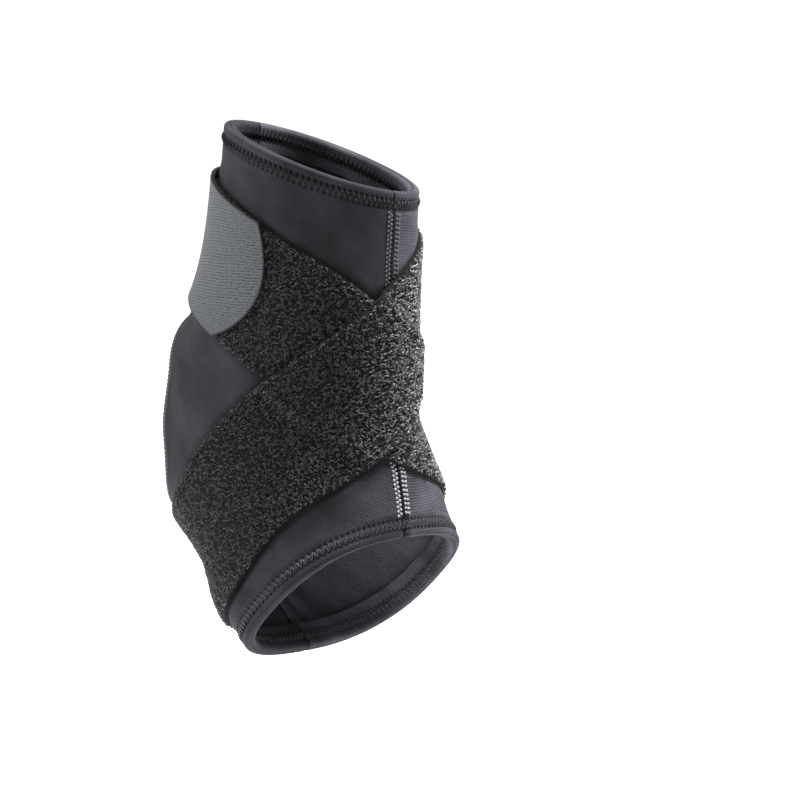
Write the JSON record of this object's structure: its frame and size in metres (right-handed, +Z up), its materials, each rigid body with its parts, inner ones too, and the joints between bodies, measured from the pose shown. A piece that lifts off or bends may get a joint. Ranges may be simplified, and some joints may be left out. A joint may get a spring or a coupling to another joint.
{
  "type": "ankle brace",
  "caption": "Open-heel neoprene ankle sleeve with turned hems, a wide loop strap wound over it in a figure of eight and a hook tab that closes the strap on the outer side of the leg.",
  "frame": {"origin": "centre of the ankle joint, inside the hollow sleeve", "axes": "+Z up along the leg, -Y towards the toes, -X towards the outer side of the right foot"},
  "size_m": [0.1021, 0.116, 0.2105],
  "materials": {
    "nylon_faced_neoprene": "smooth fine-knit nylon face, dark charcoal",
    "overlock_thread": "dense overlock stitching, near black",
    "loop_faced_strap": "short unbroken-loop pile, black with light grey glints",
    "woven_hook_tape": "woven back of a hook tape, mid grey, fine crosswise dashes"
  },
  "bodies": {
    "root": {"lateral_panel": "nylon_faced_neoprene", "medial_panel": "nylon_faced_neoprene", "top_hem": "nylon_faced_neoprene", "foot_hem": "nylon_faced_neoprene", "heel_edging": "overlock_thread", "figure_eight_strap": "loop_faced_strap", "hook_tab": "woven_hook_tape"}
  },
  "joints": []
}
